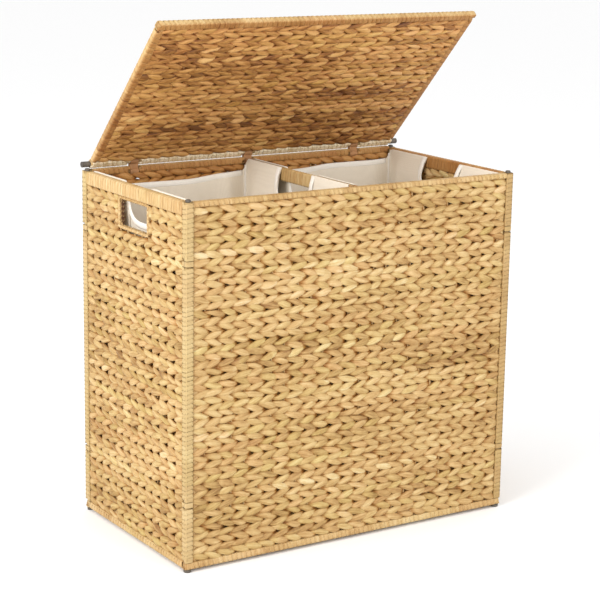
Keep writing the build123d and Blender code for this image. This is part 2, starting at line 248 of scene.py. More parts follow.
class SmoothNoise:
    """Smooth random heights from 0 to 1 over a flat region, with one value for each cell corner."""

    def __init__(self, rng, across_span, up_span, across_step, up_step):
        self.start = across_span[0], up_span[0]
        self.step = across_step, up_step
        spans = (across_span, up_span)
        cells = [int((high - low) / step) + 3 for (low, high), step in zip(spans, self.step)]
        self.grid = rng.random(cells)

    def at(self, across, up):
        """The heights at places given by two coordinates."""
        column = np.maximum((across - self.start[0]) / self.step[0], 0)
        row = np.maximum((up - self.start[1]) / self.step[1], 0)
        column, row = np.broadcast_arrays(column, row)
        left = np.minimum(column.astype(int), self.grid.shape[0] - 2)
        low = np.minimum(row.astype(int), self.grid.shape[1] - 2)
        right_share = smooth_step(0, 1, column - left)
        high_share = smooth_step(0, 1, row - low)
        below = self.grid[left, low] * (1 - right_share) + self.grid[left + 1, low] * right_share
        above = self.grid[left, low + 1] * (1 - right_share) + self.grid[left + 1, low + 1] * right_share
        return below * (1 - high_share) + above * high_share


def signed_power(values, power):
    """Powers that keep the sign of the value."""
    return np.sign(values) * np.abs(values) ** power


def smooth_step(low, high, values):
    """Rises smoothly from 0 at low to 1 at high."""
    share = np.clip((values - low) / (high - low), 0, 1)
    return share * share * (3 - 2 * share)


class Panel(NamedTuple):
    """A flat woven field: its three directions, and its span along each."""

    across: np.ndarray
    up: np.ndarray
    out: np.ndarray
    across_span: tuple
    up_span: tuple
    out_span: tuple

    @property
    def ways(self):
        """Its three directions."""
        return self.across, self.up, self.out


def panel_of(node, across, up):
    """The panel that a CAD node fills, seen with these directions across and up."""
    out = np.cross(across, up)
    points = node_points(node)
    return Panel(across, up, out, span(points, across), span(points, up), span(points, out))


class Strands:
    """Closed flattened tubes, gathered into one mesh with what the materials read."""

    def __init__(self, sides, roundness):
        self.sides = sides
        self.roundness = roundness
        self.points, self.quads, self.caps, self.places = [], [], [], []
        self.values = {"tone": [], "hue": [], "edge": []}
        self.total = 0

    def add(self, centre, out, half_width, half_depth, travel, tone=0.5, hue=0.5, tilt=0.0, closed=False):
        """One tube along centre, whose flat face looks along out."""
        count, sides = len(centre), self.sides
        along = np.gradient(centre, axis=0)
        if closed:
            along = np.roll(centre, -1, axis=0) - np.roll(centre, 1, axis=0)
        along = unit(along)
        level = unit(np.cross(out, along))
        raised = np.cross(along, level)
        tilt = np.broadcast_to(tilt, count)[:, None]
        side = level * np.cos(tilt) + raised * np.sin(tilt)
        out = raised * np.cos(tilt) - level * np.sin(tilt)
        turn = np.arange(sides) * 2 * np.pi / sides
        wide = np.broadcast_to(half_width, count)[:, None] * signed_power(np.cos(turn), self.roundness)
        deep = np.broadcast_to(half_depth, count)[:, None] * signed_power(np.sin(turn), self.roundness)
        points = centre[:, None] + wide[..., None] * side[:, None] + deep[..., None] * out[:, None]
        self.points.append(points.reshape(-1, 3))
        ring = np.arange(count if closed else count - 1)[:, None, None] + np.array([0, 0, 1, 1])
        spot = np.arange(sides)[None, :, None] + np.array([0, 1, 1, 0])
        quads = ring % count * sides + spot % sides
        self.quads.append(self.total + quads.reshape(-1, 4))
        last = np.append(travel, 2 * travel[-1] - travel[-2])
        places = np.stack(np.broadcast_arrays(last[ring], spot / sides), -1)
        self.places.append(places.reshape(-1, 2))
        if not closed:
            first = self.total + np.arange(sides)
            self.caps += [first[::-1], first + (count - 1) * sides]
        for name, value in (("tone", tone), ("hue", hue)):
            self.values[name].append(np.repeat(np.broadcast_to(value, count), sides))
        self.values["edge"].append(np.tile(np.abs(np.cos(turn)), count))
        self.total += count * sides

    def make(self, name, material, recess_of=None, inside_of=None):
        """The gathered tubes as one object."""
        points = np.concatenate(self.points)
        quads = np.concatenate(self.quads)
        loops = np.concatenate([quads.ravel(), *self.caps])
        quad_starts = np.arange(len(quads)) * 4
        cap_starts = len(quads) * 4 + np.arange(len(self.caps)) * self.sides
        starts = np.append(quad_starts, cap_starts)
        places = np.concatenate([*self.places, np.zeros((len(self.caps) * self.sides, 2))])
        mesh = bpy.data.meshes.new(name)
        mesh.vertices.add(len(points))
        mesh.vertices.foreach_set("co", points.ravel())
        mesh.loops.add(len(loops))
        mesh.loops.foreach_set("vertex_index", loops)
        mesh.polygons.add(len(starts))
        mesh.polygons.foreach_set("loop_start", starts)
        mesh.update(calc_edges=True)
        mesh.polygons.foreach_set("use_smooth", np.ones(len(starts), bool))
        mesh.uv_layers.new(name="strand").data.foreach_set("uv", places.ravel())
        values = {key: np.concatenate(parts) for key, parts in self.values.items()}
        values["recess"] = recess_of(points) if recess_of else np.zeros(len(points))
        values["inside"] = inside_of(points) if inside_of else np.zeros(len(points))
        for key, numbers in values.items():
            attribute = mesh.attributes.new(key, "FLOAT", "POINT")
            attribute.data.foreach_set("value", numbers.astype(np.float32))
        mesh.validate()
        mesh.materials.append(material)
        return new_object(name, mesh)


def leaf_values(rng, travel, spread, middle=0.5):
    """One value for each length of leaf that a strand is pieced together from."""
    reach = travel[-1] - travel[0]
    lengths = rng.uniform(leaf_shortest, leaf_longest, int(reach / leaf_shortest) + 2)
    joints = travel[0] - rng.uniform(0, leaf_longest) + np.cumsum(lengths)
    values = np.clip(rng.normal(middle, spread, len(joints) + 1), 0, 1)
    return values[np.searchsorted(joints, travel)]


def wander(rng, places, step, spread):
    """A value that drifts at random, with one draw to each step."""
    knots = np.arange(places[0] - step, places[-1] + 2 * step, step)
    return np.interp(places, knots, rng.normal(0, spread, len(knots)))


def runs_beside(hole, level, across_span):
    """The stretches of a row that a hand hole leaves."""
    start, end = across_span
    if hole is None or not hole[1][0] < level < hole[1][1]:
        return [(start, end)]
    return [(start, hole[0][0]), (hole[0][1], end)]


def twine(
    name, panel, material, seed, hole=None, spread=tone_spread, inner_face_shading=0.0,
    steps=6, sides=7, side_reach=row_tuck, top_reach=0.0,
):
    """A twined field: rows of two strands that change places between stakes, leaning each way in turn."""
    rng = np.random.default_rng(seed)
    strands = Strands(sides, strand_roundness)
    low, high = panel.up_span[0], panel.up_span[1] + top_reach
    rows = round((high - low) / row_height)
    pitch = (high - low) / rows
    start, end = panel.across_span[0] - side_reach, panel.across_span[1] + side_reach
    stakes = math.floor((end - start) / stake_pitch) + 1
    stake = (start + end) / 2 - (stakes - 1) / 2 * stake_pitch
    middle = sum(panel.out_span) / 2
    half = (panel.out_span[1] - panel.out_span[0]) / 2
    rise = half - strand_half_depth - field_skin
    patches = SmoothNoise(rng, panel.across_span, panel.up_span, patch_size, patch_size / 3)
    for row in range(rows):
        level = low + (row + 0.5) * pitch
        lean = 1 if row % 2 else -1
        for run_start, run_end in runs_beside(hole, level, (start, end)):
            count = max(3, round((run_end - run_start) / stake_pitch * steps) + 1)
            places = np.linspace(run_start, run_end, count)
            end_gap = np.minimum(places - run_start, run_end - places)
            settled = row_end_depth + (1 - row_end_depth) * smooth_step(0, row_dip, end_gap)
            for strand in (0, 1):
                phase = np.pi * ((places - stake) / stake_pitch + strand)
                phase = phase + wander(rng, places, stake_pitch, phase_wander)
                height = level + lean * strand_swing * np.sin(phase)
                height = height + wander(rng, places, stake_pitch, row_wander)
                swing = rise * settled * signed_power(np.cos(phase), float_flatness)
                depth = middle + swing * (1 - np.abs(wander(rng, places, stake_pitch, depth_wander)))
                centre = places[:, None] * panel.across + height[:, None] * panel.up
                centre = centre + depth[:, None] * panel.out
                swell = np.cos(phase) ** 2
                half_width = crossing_half_width + (float_half_width - crossing_half_width) * swell
                half_depth = crossing_half_depth + (strand_half_depth - crossing_half_depth) * swell
                half_width = half_width * (1 + wander(rng, places, stake_pitch, width_wander))
                travel = places + rng.uniform(0, grain_length)
                tone = leaf_values(rng, travel, spread)
                tone = tone + patch_depth * (patches.at(places, level) - 0.5)
                tone = tone + wander(rng, places, stake_pitch, tone_wander)
                hue = leaf_values(rng, travel, hue_spread)
                roll = wander(rng, places, stake_pitch, float_roll)
                out = np.broadcast_to(panel.out, centre.shape)
                strands.add(centre, out, half_width, half_depth, travel, np.clip(tone, 0, 1), hue, roll)

    # Painted shade in the recesses where strands pass deep in the field
    def recess_of(points):
        return 1 - smooth_step(*recess_reach, np.abs(points @ panel.out - middle) / half)

    # Painted shade on the field's inner face, scaled by the share given
    def inside_of(points):
        return inner_face_shading * smooth_step(*inside_reach, (middle - points @ panel.out) / half)

    return strands.make(name, material, recess_of, inside_of)


def rounded_outline(half_across, half_up, radius, arc_steps=8):
    """Points of a rounded rectangle about the origin, their outward normals, and the way to each."""
    quarter = np.linspace(0, np.pi / 2, arc_steps)
    points, normals = [], []
    for index, signs in enumerate(((1, 1), (-1, 1), (-1, -1), (1, -1))):
        angle = quarter + index * np.pi / 2
        normal = np.stack([np.cos(angle), np.sin(angle)], -1)
        middle = np.array(signs) * (half_across - radius, half_up - radius)
        points.append(middle + radius * normal)
        normals.append(normal)
    points, normals = np.concatenate(points), np.concatenate(normals)
    points, normals = np.vstack([points, points[:1]]), np.vstack([normals, normals[:1]])
    return points, normals, way_along(points)


def squared_loop(angle, half_wide, half_deep, squareness):
    """Places and outward normals round a rounded square section."""
    cosine, sine = np.cos(angle), np.sin(angle)
    shape = 2 / squareness
    wide, deep = half_wide * signed_power(cosine, shape), half_deep * signed_power(sine, shape)
    normal_wide = signed_power(cosine, 2 - shape) / half_wide
    normal_deep = signed_power(sine, 2 - shape) / half_deep
    length = np.hypot(normal_wide, normal_deep)
    return wide, deep, normal_wide / length, normal_deep / length


class Winding(NamedTuple):
    """How a strip is wound; its turns may spread along the panel, or sink below the panel's faces."""

    pitch: float
    depth: float
    tilt: float
    tone: float
    squareness: float
    spread: float = 0.0
    sink: float = 0.0


rail_winding = Winding(rail_pitch, strip_depth, strip_tilt, tone=0.5, squareness=edge_squareness)
sleeve_winding = rail_winding._replace(
    pitch=sleeve_pitch, depth=sleeve_strip_depth, squareness=sleeve_squareness
)
wrap_winding = Winding(row_height, wrap_depth, tilt=0.0, tone=0.4, squareness=wrap_squareness)
row_winding = wrap_winding._replace(spread=wrap_spread)
end_winding = wrap_winding._replace(sink=end_wrap_sink)
# Palest leaf on the lid's hinge edge: a painted highlight
highlit_hinge_winding = rail_winding._replace(tone=1.0)


def wind_edge(strands, rng, spans, directions, main, winding, outward):
    """Winds a strip round a straight edge that takes up these spans, and runs along the main direction."""
    low, high = spans[main]
    others = [index for index in range(3) if index != main]
    along, wide_way, deep_way = directions[main], directions[others[0]], directions[others[1]]
    axis = sum(sum(spans[index]) / 2 * directions[index] for index in others)
    halves = []
    for index in others:
        share = abs(outward @ directions[index])
        growth = winding.spread * (1 - share) - winding.sink * share
        halves.append((spans[index][1] - spans[index][0] - winding.depth) / 2 + growth)
    half_wide, half_deep = halves
    turns = max(1, round((high - low) / winding.pitch))
    pitch = (high - low) / turns
    turn = np.linspace(0, turns, turns * winding_steps + 1)
    first_angle = math.atan2(outward @ deep_way, outward @ wide_way) - np.pi
    angle = first_angle + 2 * np.pi * turn
    wide, deep, normal_wide, normal_deep = squared_loop(angle, half_wide, half_deep, winding.squareness)
    place = np.clip(low + pitch * turn, low + pitch / 2, high - pitch / 2)
    centre = axis + place[:, None] * along + wide[:, None] * wide_way + deep[:, None] * deep_way
    out = normal_wide[:, None] * wide_way + normal_deep[:, None] * deep_way
    travel = way_along(centre) + rng.uniform(0, grain_length)
    half_width = pitch / 2 * strip_overlap
    narrowed = half_width * (1 + wander(rng, travel, *strip_width_wander))
    tone = leaf_values(rng, travel, strip_tone_spread, winding.tone)
    tone = np.clip(tone + wander(rng, travel, *strip_tone_wander), 0, 1)
    hue = leaf_values(rng, travel, strip_hue_spread)
    half_width = np.minimum(narrowed, half_width)
    strands.add(centre, out, half_width, winding.depth / 2, travel, tone, hue, winding.tilt)
    ends = np.array([[low + core_inset], [high - core_inset]])
    core_half = half_wide - winding.depth / 2, half_deep - winding.depth / 2
    core_out = np.tile(deep_way, (2, 1))
    strands.add(axis + ends * along, core_out, *core_half, ends.ravel(), winding.tone / 2)


def wind_edges(
    name, node, directions, seed, outward, winding_of=None, fit=None, inside_of=None, body="hamper"
):
    """Winds every straight edge of a CAD node, as a rail unless told, with its spans refitted if asked."""
    rng = np.random.default_rng(seed)
    strands = Strands(strip_sides, strip_roundness)
    for points in solids_of(node):
        spans = [span(points, direction) for direction in directions]
        main = int(np.argmax([high - low for low, high in spans]))
        spans = fit(spans, main) if fit else spans
        middle = sum(sum(ends) / 2 * way for ends, way in zip(spans, directions))
        winding = winding_of(directions[main], middle) if winding_of else rail_winding
        wind_edge(strands, rng, spans, directions, main, winding, outward)
    piece = strands.make(name, edge_straw, inside_of=inside_of)
    finish_piece(piece, body, "edge_wrap", node)


def edge_windings(panel, side_winding, low_winding):
    """The rows' ends take one winding, the edge below the rows another, and the rest are rails."""

    def winding_of(along, middle):
        if abs(along @ panel.up) > 0.5:
            return side_winding
        return low_winding if middle @ panel.up < panel.up_span[0] else rail_winding

    return winding_of


def browned(node, outward, shares):
    """How brown a node's edges are: rises over these shares of its depth, from its outer face inwards, as
    painted shade on inner faces.
    """
    low, high = span(node_points(node), outward)
    return lambda points: smooth_step(*shares, (high - points @ outward) / (high - low))


def rail_fit(height, rise):
    """Rails wound to this height, and raised a little; upright edges stay as they are."""

    def fit(spans, main):
        top = spans[2][1]
        return spans if main == 2 else [*spans[:2], (top - height, top + rise)]

    return fit


def wind_sleeves(name, node, directions, material, seed):
    """Winds the sleeves of a corner, and one turn over the eyes in each break between them."""
    rng = np.random.default_rng(seed)
    strands = Strands(strip_sides, strip_roundness)
    sleeves = [[span(points, direction) for direction in directions] for points in solids_of(node)]
    sleeves = sorted(sleeves, key=lambda spans: spans[2][0])
    breaks = []
    for below, above in zip(sleeves, sleeves[1:]):
        breaks.append([*below[:2], (below[2][1] + sleeve_break_gap, above[2][0] - sleeve_break_gap)])
    for spans in sleeves + breaks:
        wind_edge(strands, rng, spans, directions, 2, sleeve_winding, directions[0])
    return strands.make(name, material)


def wind_rim(name, node, panel, material, seed):
    """Winds the rim of a hand hole, all the way round."""
    rng = np.random.default_rng(seed)
    points = node_points(node)
    spans = [span(points, direction) for direction in panel.ways]
    middle = sum(sum(ends) / 2 * way for ends, way in zip(spans, panel.ways))
    rim = rim_width_of(points, panel, spans)
    half_across, half_up = ((high - low) / 2 - rim / 2 for low, high in spans[:2])
    outline, normals, way = rounded_outline(half_across, half_up, rim)
    turns = round(way[-1] / rim_pitch)
    turn = np.arange(turns * winding_steps) / winding_steps
    reach = way[-1] * turn / turns
    path = np.stack([np.interp(reach, way, outline[:, axis]) for axis in (0, 1)], -1)
    facing = unit(np.stack([np.interp(reach, way, normals[:, axis]) for axis in (0, 1)], -1))
    half_deep = (spans[2][1] - spans[2][0] - strip_depth) / 2
    section = (rim - strip_depth) / 2, half_deep, edge_squareness
    wide, deep, normal_wide, normal_deep = squared_loop(2 * np.pi * turn, *section)
    flat = path + facing * wide[:, None]
    centre = middle + flat[:, :1] * panel.across + flat[:, 1:] * panel.up + deep[:, None] * panel.out
    facing_out = facing[:, :1] * panel.across + facing[:, 1:] * panel.up
    out = normal_wide[:, None] * facing_out + normal_deep[:, None] * panel.out
    travel = way_along(centre)
    tone = leaf_values(rng, travel, rim_tone_spread, rim_tone)
    hue = leaf_values(rng, travel, rim_hue_spread)
    half_width = rim_pitch / 2 * strip_overlap
    strands = Strands(strip_sides, strip_roundness)
    strands.add(centre, out, half_width, strip_depth / 2, travel, tone, hue, strip_tilt, closed=True)
    # Painted shade on the jambs: the rim's faces across the hole, darker deeper in, fed to the material as
    # its recess
    jamb = np.abs(facing[:, 0]) * smooth_step(*jamb_turn, -normal_wide)
    jamb = jamb * smooth_step(*jamb_depth, deep / half_deep)
    return strands.make(name, material, lambda points: np.repeat(jamb, strands.sides))


def rim_width_of(points, panel, spans):
    """How wide a hand hole's rim is, from the inner corners of its solid."""
    across_gap = np.abs(points @ panel.across - sum(spans[0]) / 2)
    inner = points[across_gap < (spans[0][1] - spans[0][0]) / 4] @ panel.up
    lower = inner[inner < sum(spans[1]) / 2]
    return float(lower.max() - lower.min())


# Materials
def colour(red, green, blue):
    """A colour given as on a screen, from 0 to 255, as the shaders take it."""
    shares = [value / 255 for value in (red, green, blue)]
    linear = [share / 12.92 if share <= 0.04045 else ((share + 0.055) / 1.055) ** 2.4 for share in shares]
    return *linear, 1.0


def new_material(name):
    """An empty material, its node tree and its shader."""
    material = bpy.data.materials.new(name)
    material.use_nodes = True
    return material, material.node_tree, material.node_tree.nodes["Principled BSDF"]


def feed(tree, node, inputs):
    """Gives a shader node its inputs, which are values or other nodes' sockets."""
    for key, value in inputs.items():
        if isinstance(value, bpy.types.NodeSocket):
            tree.links.new(value, node.inputs[key])
        else:
            node.inputs[key].default_value = value


def add_node(tree, kind, inputs=None, **settings):
    """A shader node with these settings and inputs."""
    made = tree.nodes.new(kind)
    for key, value in settings.items():
        setattr(made, key, value)
    feed(tree, made, inputs or {})
    return made


def noise(tree, place, scale, detail):
    """Smooth noise over a place."""
    made = add_node(tree, "ShaderNodeTexNoise", {"Vector": place, "Scale": scale, "Detail": detail})
    return made.outputs["Fac"]


def ranged(tree, value, low, high):
    """A value from 0 to 1, spread from low to high."""
    values = {"Value": value, "To Min": low, "To Max": high}
    return add_node(tree, "ShaderNodeMapRange", values).outputs["Result"]


def relief(tree, height, strength, distance):
    """The way that a surface with small relief faces."""
    values = {"Height": height, "Strength": strength, "Distance": distance}
    return add_node(tree, "ShaderNodeBump", values).outputs["Normal"]


def sums(tree, operation, first, second=0.0, third=0.02):
    """A sum, product or other reckoning of two values; the third is how close a comparison is."""
    values = {0: first, 1: second, 2: third}
    return add_node(tree, "ShaderNodeMath", values, operation=operation).outputs[0]


def ramp(tree, factor, stops):
    """Colours that follow a factor."""
    made = add_node(tree, "ShaderNodeValToRGB", {"Fac": factor})
    elements = made.color_ramp.elements
    while len(elements) < len(stops):
        elements.new(0.5)
    for element, (place, shade) in zip(elements, stops):
        element.position = place
        element.color = shade
    return made.outputs["Color"]


def mixed(tree, blend, factor, first, second):
    """Two colours mixed by a factor."""
    values = {"Factor": factor, 6: first, 7: second}
    return add_node(tree, "ShaderNodeMix", values, data_type="RGBA", blend_type=blend).outputs[2]


def streaks(tree, along, around, detail):
    """Noise drawn out along a strand, at so many marks to the metre and so many round it."""
    place = add_node(tree, "ShaderNodeUVMap", uv_map="strand").outputs["UV"]
    scaled = add_node(tree, "ShaderNodeMapping", {"Vector": place, "Scale": (along, around, 1)})
    return noise(tree, scaled.outputs["Vector"], 1.0, detail)


# Painted shade, multiplied into leaf colours where strands lie deep in recesses
painted_recess_shade = colour(224, 186, 134)
# Painted shade in the grooves at strands' side edges, where neighbouring strips meet
painted_groove_shade = colour(204, 158, 104)
# Inner-face colours: painted shade on the back wall's and lid's inner faces; the right wall's rail is
# darkened the same way over most of its depth
painted_inside_shade = (0.89, 0.66, 0.45, 1)
rail_inside_brown = (0.74, 0.53, 0.35, 1)


def straw(
    name, stops, groove_share, recess_shade=painted_recess_shade, inside_shade=painted_inside_shade, streak_share=1.0
):
    """Dried leaf: colours by length of leaf, streaks along its fibres, and brown painted shade in
    recesses, grooves and on inner faces.
    """
    material, tree, shader = new_material(name)
    keys = ("tone", "hue", "edge", "recess", "inside")
    values = [add_node(tree, "ShaderNodeAttribute", attribute_name=key).outputs["Fac"] for key in keys]
    tone, hue, edge, recess, inside = values
    broad = streaks(tree, *broad_streaks)
    fine = streaks(tree, *fine_streaks)
    spots = streaks(tree, *leaf_spots)
    for marks, share in ((broad, broad_share), (fine, fine_share), (spots, spot_share)):
        tone = sums(tree, "MULTIPLY_ADD", sums(tree, "SUBTRACT", marks, 0.5), share * streak_share, tone)
    base = ramp(tree, tone, [(place, colour(*shade)) for place, *shade in stops])
    tints = ((0.1, (0.95, 1.0, 0.84, 1)), (0.5, (1, 1, 1, 1)), (0.9, (1.0, 0.92, 0.90, 1)))
    base = mixed(tree, "MULTIPLY", 1.0, base, ramp(tree, hue, tints))
    # Painted shade on inner faces
    base = mixed(tree, "MULTIPLY", inside, base, inside_shade)
    # Painted shade in the grooves at strands' edges
    groove = sums(tree, "POWER", edge, groove_sharpness)
    base = mixed(tree, "MULTIPLY", sums(tree, "MULTIPLY", groove, groove_share), base, painted_groove_shade)
    # Painted shade in recesses
    base = mixed(tree, "MULTIPLY", recess, base, recess_shade)
    ridges = sums(tree, "MULTIPLY", fine, fine_ridge)
    ridges = sums(tree, "MULTIPLY_ADD", broad, broad_ridge, ridges)
    looks = {
        "Base Color": base,
        "Roughness": ranged(tree, broad, low=0.46, high=0.72),
        "Normal": relief(tree, ridges, strength=0.9, distance=1.4 * MM),
        "Specular IOR Level": 0.35,
    }
    feed(tree, shader, looks)
    return material


def cloth(name, shade, thread_shade, stitched=False):
    """Plain cotton: a fine weave with uneven threads and soft stains, and stitches along a binding."""
    material, tree, shader = new_material(name)
    place = add_node(tree, "ShaderNodeTexCoord").outputs["Object"]
    soft = noise(tree, place, stain_scale, detail=3.0)
    slub = noise(tree, place, slub_scale, detail=2.0)
    wavy = {"Vector": place, "Scale": thread_scale, "Distortion": 1.2, "Detail": 1.0, "Detail Scale": 3.0}
    weave = 0.0
    for direction in ("X", "Y", "Z"):
        wave = add_node(tree, "ShaderNodeTexWave", wavy, wave_type="BANDS", bands_direction=direction)
        weave = sums(tree, "MULTIPLY_ADD", wave.outputs["Fac"], thread_share, weave)
    base = mixed(tree, "MIX", soft, shade, thread_shade)
    grain = sums(tree, "MULTIPLY", sums(tree, "ADD", slub, weave), grain_share)
    base = mixed(tree, "MULTIPLY", grain, base, (0.62, 0.58, 0.52, 1))
    if stitched:
        strand_place = add_node(tree, "ShaderNodeUVMap", uv_map="strand").outputs["UV"]
        spot = add_node(tree, "ShaderNodeSeparateXYZ", {"Vector": strand_place})
        face_place = sums(tree, "FRACT", sums(tree, "MULTIPLY", spot.outputs["Y"], 2.0))
        row = sums(tree, "COMPARE", sums(tree, "PINGPONG", face_place, 0.5), stitch_line)
        stitch_place = sums(tree, "FRACT", sums(tree, "DIVIDE", spot.outputs["X"], stitch_pitch))
        thread = sums(tree, "LESS_THAN", stitch_place, stitch_share)
        base = mixed(tree, "MIX", sums(tree, "MULTIPLY", row, thread), base, colour(196, 184, 164))
    looks = {
        "Base Color": base,
        "Roughness": 0.92,
        "Normal": relief(tree, weave, strength=0.35, distance=0.3 * MM),
        "Sheen Weight": 0.25,
        "Sheen Roughness": 0.5,
    }
    feed(tree, shader, looks)
    return material


def painted_metal(name, shade, worn_shade, roughness, metallic=0.1):
    """Coated wire or a moulded cap: faint mottling, worn lighter in places."""
    material, tree, shader = new_material(name)
    place = add_node(tree, "ShaderNodeTexCoord").outputs["Object"]
    mottle = noise(tree, place, mottle_scale, detail=4.0)
    grain = noise(tree, place, grain_scale, detail=2.0)
    looks = {
        "Base Color": ramp(tree, mottle, ((0.35, shade), (0.75, worn_shade))),
        "Roughness": ranged(tree, mottle, roughness, roughness + 0.25),
        "Normal": relief(tree, grain, strength=0.25, distance=0.2 * MM),
        "Metallic": metallic,
    }
    feed(tree, shader, looks)
    return material


# Leaf colours, darkest first: a place from 0 to 1, then red, green and blue as on a screen
wall_stops = (
    (0.05, 133, 96, 50),
    (0.30, 166, 131, 79),
    (0.52, 185, 153, 100),
    (0.75, 199, 171, 120),
    (0.97, 211, 191, 148),
)
edge_stops = (
    (0.02, 136, 92, 48),
    (0.22, 166, 128, 78),
    (0.45, 188, 154, 102),
    (0.70, 204, 176, 128),
    (0.90, 218, 198, 160),
    (1.00, 236, 220, 190),
)
sleeve_stops = ((0.05, 164, 132, 84), (0.50, 188, 161, 112), (0.95, 202, 179, 134))
# Darker copy of the sleeve colours for the right-hand corners: painted shade
shaded_sleeve_stops = ((0.05, 148, 114, 68), (0.50, 174, 143, 93), (0.95, 190, 163, 115))
lid_stops = (
    (0.05, 112, 76, 38),
    (0.30, 160, 124, 72),
    (0.52, 192, 160, 106),
    (0.75, 213, 185, 133),
    (0.97, 224, 204, 160),
)
wall_straw = straw("wall_straw", wall_stops, groove_share=0.25)
# The lid takes a darker painted shade in its recesses and stronger painted shade in its grooves
lid_straw = straw("lid_straw", lid_stops, groove_share=0.5, recess_shade=colour(196, 152, 100))
edge_straw = straw(
    "edge_straw", edge_stops, groove_share=0.08, inside_shade=rail_inside_brown, streak_share=0.8
)
sleeve_straw = straw("sleeve_straw", sleeve_stops, groove_share=0.05, streak_share=0.6)
shaded_sleeve_straw = straw("shaded_sleeve_straw", shaded_sleeve_stops, groove_share=0.05, streak_share=0.8)
# Rim: the darkest painted shade, on the hand hole's jambs
rim_straw = straw("rim_straw", edge_stops, groove_share=0.08, recess_shade=colour(104, 70, 42))
bag_cloth = cloth("bag_cloth", colour(238, 228, 211), colour(230, 219, 200))
binding_cloth = cloth("binding_cloth", colour(247, 242, 234), colour(242, 236, 226), stitched=True)
tan_wire = painted_metal("tan_wire", colour(176, 142, 94), colour(198, 166, 116), roughness=0.6)
brown_wire = painted_metal("brown_wire", colour(150, 104, 64), colour(182, 134, 88), roughness=0.55)
dark_cap = painted_metal("dark_cap", colour(66, 59, 51), colour(106, 97, 86), roughness=0.5)

# Woven fields and wound edges
east, north, upward = np.eye(3)
lid_rise = math.radians(-frame["joints"][0]["range_deg"][0])
lid_up = np.array([0, -math.cos(lid_rise), math.sin(lid_rise)])

walls = {
    "front": panel_of("front_weave", east, upward),
    "back": panel_of("back_weave", -east, upward),
    "left": panel_of("left_weave", -north, upward),
    "right": panel_of("right_weave", north, upward),
}
base_panel = panel_of("base_weave", east, -north)
lid_panel = panel_of("lid_weave", -east, lid_up)
# Painted shade on the inner faces of the back wall's rails and the lid's edges; the right wall's rail is
# darkened from 0.3 to 0.6 of its depth
inner_face_shares = (0.82, 0.94)
brown_shares = {"back": inner_face_shares, "right": (0.3, 0.6)}
corners = ("front_left", "front_right", "back_left", "back_right")
wall_ways = (east, north, upward)

for count, (name, panel) in enumerate(walls.items()):
    edge_node = f"{name}_edge_wraps"
    edge_points = node_points(edge_node)
    side_reach = span(edge_points, panel.across)[1] - panel.across_span[1] - row_end_gap
    top_reach, fit, hole = 0.0, None, None
    if name in ("front", "back"):
        top_reach = span(edge_points, upward)[1] - long_rail_height - panel.up_span[1]
        fit = rail_fit(long_rail_height, back_rail_rise if name == "back" else 0.0)
    rim_node = f"{name}_handle_rim"
    if rim_node in frame["nodes"]:
        hole = [span(node_points(rim_node), way) for way in (panel.across, panel.up)]
        rim_piece = wind_rim(f"{name}_hole_winding", rim_node, panel, rim_straw, rim_seed + count)
        finish_piece(rim_piece, "hamper", "edge_wrap", rim_node)
    # The back wall's inner face takes painted shade
    field = twine(
        f"{name}_twining", panel, wall_straw, count, hole, inner_face_shading=float(name == "back"),
        side_reach=side_reach, top_reach=top_reach,
    )
    finish_piece(field, "hamper", "weave", f"{name}_weave")
    wind_edges(
        f"{name}_edge_winding", edge_node, wall_ways, edge_seed + count, panel.out,
        edge_windings(panel, end_winding, rail_winding), fit,
        browned(edge_node, panel.out, brown_shares[name]) if name in brown_shares else None,
    )

base_field = twine("base_twining", base_panel, wall_straw, seed=5, steps=4, sides=5)
finish_piece(base_field, "hamper", "weave", "base_weave")
wind_edges("base_edge_winding", "base_edge_wraps", wall_ways, 15, base_panel.out)
# The lid's inner face takes painted shade
lid_field = twine("lid_twining", lid_panel, lid_straw, seed=6, spread=lid_tone_spread, inner_face_shading=1.0)
finish_piece(lid_field, "lid", "lid_weave", "lid_weave")
# Painted shade on the lid edges' inner faces, left off the hinge edge, which gets a painted highlight
# instead
lid_browned = browned("lid_edge_wraps", lid_panel.out, inner_face_shares)
wind_edges(
    "lid_edge_winding", "lid_edge_wraps", lid_panel.ways, 16, lid_panel.out,
    edge_windings(lid_panel, row_winding, highlit_hinge_winding),
    inside_of=lambda points: lid_browned(points) * (points @ lid_panel.up > lid_panel.up_span[0]),
    body="lid",
)

for count, corner in enumerate(corners):
    node = f"{corner}_sleeves"
    # Right-hand corners take the darker sleeve leaf: painted shade
    leaf = sleeve_straw if corner.endswith("left") else shaded_sleeve_straw
    sleeves = wind_sleeves(f"{corner}_winding", node, wall_ways, leaf, sleeve_seed + count)
    finish_piece(sleeves, "hamper", "edge_wrap", node)

wind_edges("crossbar_winding", "crossbar_wrap", wall_ways, 30, upward)


# Cloth bags
class Bag(NamedTuple):
    """The space that a bag's solid takes up."""

    middle: float
    half_long: float
    half_short: float
    floor: float
    hem: float
    ear: float
    notch: float
    ear_start: float


def bag_of(node):
    """Reads a bag's sizes off its solid."""
    points = node_points(node)
    low, high = points.min(0), points.max(0)
    across, up = np.abs(points[:, 1]), points[:, 2]
    half_way = (low[2] + high[2]) / 2
    body = points[up < half_way]
    inner, outer = body[:, 0].min(), body[:, 0].max()
    ear_start = across[up > high[2] - MM / 2].min()
    return Bag(
        middle=(inner + outer) / 2,
        half_long=(outer - inner) / 2,
        half_short=high[1],
        floor=low[2],
        hem=up[(across > high[1] - tolerance) & (up < high[2] - MM)].max(),
        ear=np.unique(up.round(6))[-2] + cloth_depth / 2 - flap_sink,
        notch=up[(across < ear_start - MM) & (up > half_way)].min(),
        ear_start=ear_start,
    )


